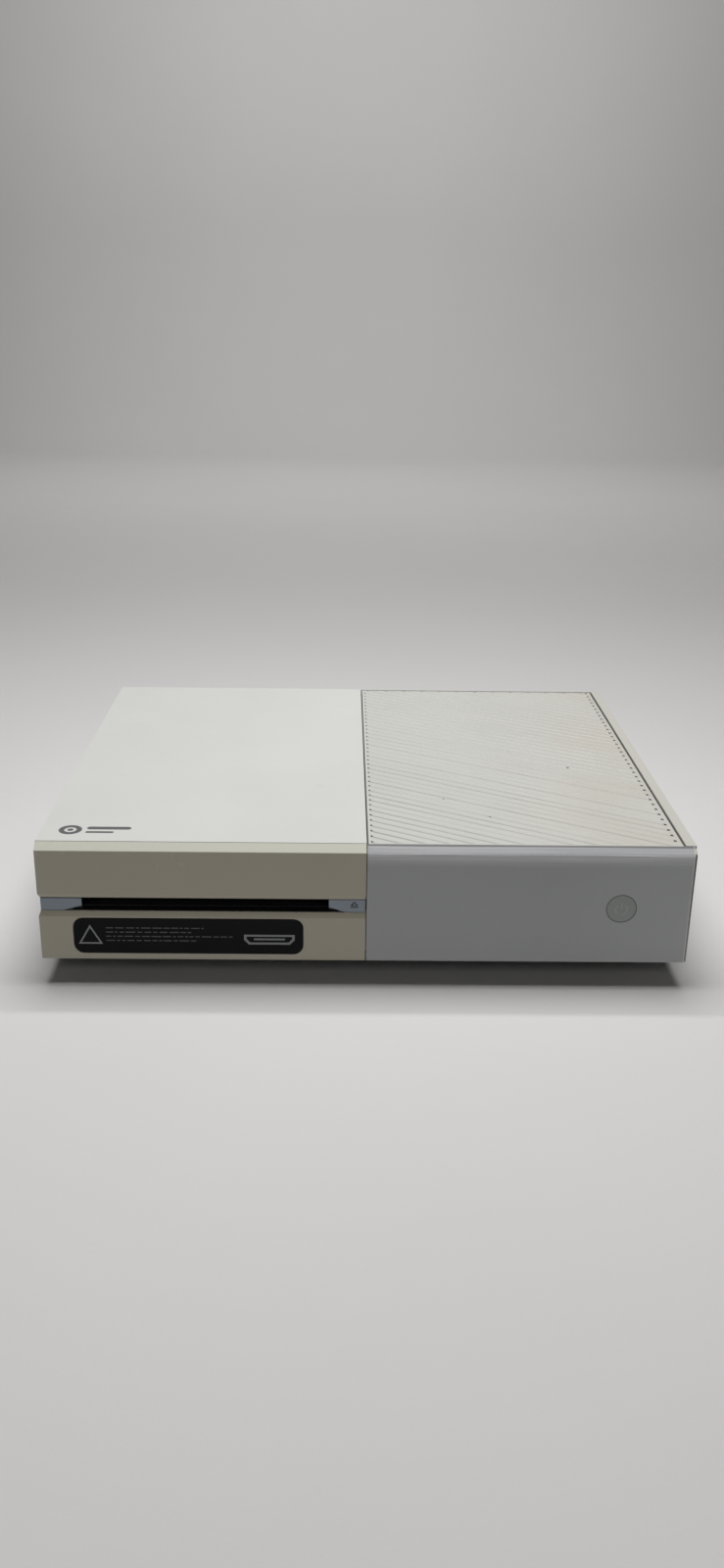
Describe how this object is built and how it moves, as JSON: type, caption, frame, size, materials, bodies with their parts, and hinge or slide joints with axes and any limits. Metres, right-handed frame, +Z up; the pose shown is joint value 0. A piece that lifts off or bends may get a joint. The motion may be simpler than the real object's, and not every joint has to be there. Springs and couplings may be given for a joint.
{
  "type": "game console",
  "caption": "Low box-shaped game console with a slot-loading disc drive on the left, a slanted-louvre top vent on the right, a touch power button and rear sockets.",
  "frame": {"origin": "centre of the footprint, at the level the rubber feet stand on", "axes": "+X to the console's right as its front is faced, +Y to its rear, +Z up"},
  "size_m": [0.333, 0.274, 0.079],
  "materials": {
    "case_white": "fine satin texture, warm white",
    "bezel_white": "semi-gloss, slightly yellowed white",
    "vent_white": "matt moulded louvres, warm white",
    "clear_film": "translucent blue-grey protective film with fine wrinkles",
    "dark_gloss": "blue-grey gloss fillers of the disc slot",
    "touch_disc": "greenish grey touch disc",
    "label": "near-black printed label",
    "black_plastic": "fine textured black",
    "foot_rubber": "soft black rubber",
    "felt": "black dust felt",
    "sheet_steel": "zinc-plated sheet",
    "alloy": "extruded or cast aluminium",
    "bright_metal": "nickel-plated",
    "circuit_board": "green solder mask"
  },
  "bodies": {
    "console": {"upper_case": "case_white", "top_vent_grille": "vent_white", "disc_bezel": "bezel_white", "slot_end_left": "dark_gloss", "eject_button": "dark_gloss", "front_label": "label", "power_panel": "bezel_white", "power_button": "touch_disc", "front_film": "clear_film", "side_vent_left": "vent_white", "side_vent_right": "vent_white", "rear_vent": "black_plastic", "rear_port_panel": "black_plastic", "lower_case": "black_plastic", "foot_front_left": "foot_rubber", "foot_front_right": "foot_rubber", "foot_rear_left": "foot_rubber", "foot_rear_right": "foot_rubber", "case_screw_1": "sheet_steel", "case_screw_2": "sheet_steel", "case_screw_3": "sheet_steel", "case_screw_4": "sheet_steel", "bind_switch": "circuit_board", "shield_lower": "sheet_steel", "shield_upper": "sheet_steel", "motherboard": "circuit_board", "heat_sink": "alloy", "fan_frame": "black_plastic", "front_board": "circuit_board", "wifi_board": "circuit_board", "speaker": "black_plastic", "dc_inlet": "black_plastic", "video_out_port": "bright_metal", "video_in_port": "bright_metal", "optical_audio_port": "black_plastic", "usb_port_rear": "bright_metal", "sensor_port": "bright_metal", "ir_jack": "black_plastic", "ethernet_port": "bright_metal", "usb_port_side": "bright_metal", "drive_base": "sheet_steel", "drive_cover": "sheet_steel", "dust_felt_upper": "felt", "dust_felt_lower": "felt", "spindle_motor": "sheet_steel", "guide_rod": "bright_metal", "sled_motor": "sheet_steel", "hdd_case": "alloy", "hdd_cover": "sheet_steel", "hdd_caddy": "black_plastic"},
    "bind_button_body": {"bind_button": "bezel_white"},
    "fan_rotor_body": {"fan_rotor": "black_plastic"},
    "turntable_body": {"turntable": "black_plastic"},
    "feed_roller_body": {"feed_roller": "foot_rubber"},
    "laser_sled_body": {"laser_sled": "black_plastic"},
    "lead_screw_body": {"lead_screw": "bright_metal"},
    "hdd_platter_body": {"hdd_platter": "bright_metal"},
    "hdd_arm_body": {"hdd_arm": "alloy"}
  },
  "joints": [
    {"name": "bind_press", "type": "slide", "parent": "console", "child": "bind_button_body", "axis": [1, 0, 0], "range_m": [0, 0.0008], "stiffness_N_per_m": 600},
    {"name": "fan_spin", "type": "hinge", "parent": "console", "child": "fan_rotor_body", "pos_m": [0.087, 0, 0.058], "axis": [0, 0, 1], "continuous": true},
    {"name": "disc_spin", "type": "hinge", "parent": "console", "child": "turntable_body", "pos_m": [-0.08185, -0.05, 0.041], "axis": [0, 0, 1], "continuous": true},
    {"name": "roller_feed", "type": "hinge", "parent": "console", "child": "feed_roller_body", "pos_m": [-0.08185, -0.1218, 0.0399], "axis": [1, 0, 0], "continuous": true},
    {"name": "sled_travel", "type": "slide", "parent": "console", "child": "laser_sled_body", "axis": [0, 1, 0], "range_m": [0, 0.034]},
    {"name": "lead_screw_turn", "type": "hinge", "parent": "console", "child": "lead_screw_body", "pos_m": [-0.06185, -0.024, 0.0382], "axis": [0, 1, 0], "range_deg": [0, 4090]},
    {"name": "platter_spin", "type": "hinge", "parent": "console", "child": "hdd_platter_body", "pos_m": [-0.111, 0.079, 0.049], "axis": [0, 0, 1], "continuous": true},
    {"name": "head_arm_swing", "type": "hinge", "parent": "console", "child": "hdd_arm_body", "pos_m": [-0.064, 0.094, 0.049], "axis": [0, 0, 1], "range_deg": [-24, 0]}
  ],
  "couplings": [
    {"joint": "lead_screw_turn", "follows": "sled_travel", "rad_per_m": 2094.4}
  ]
}
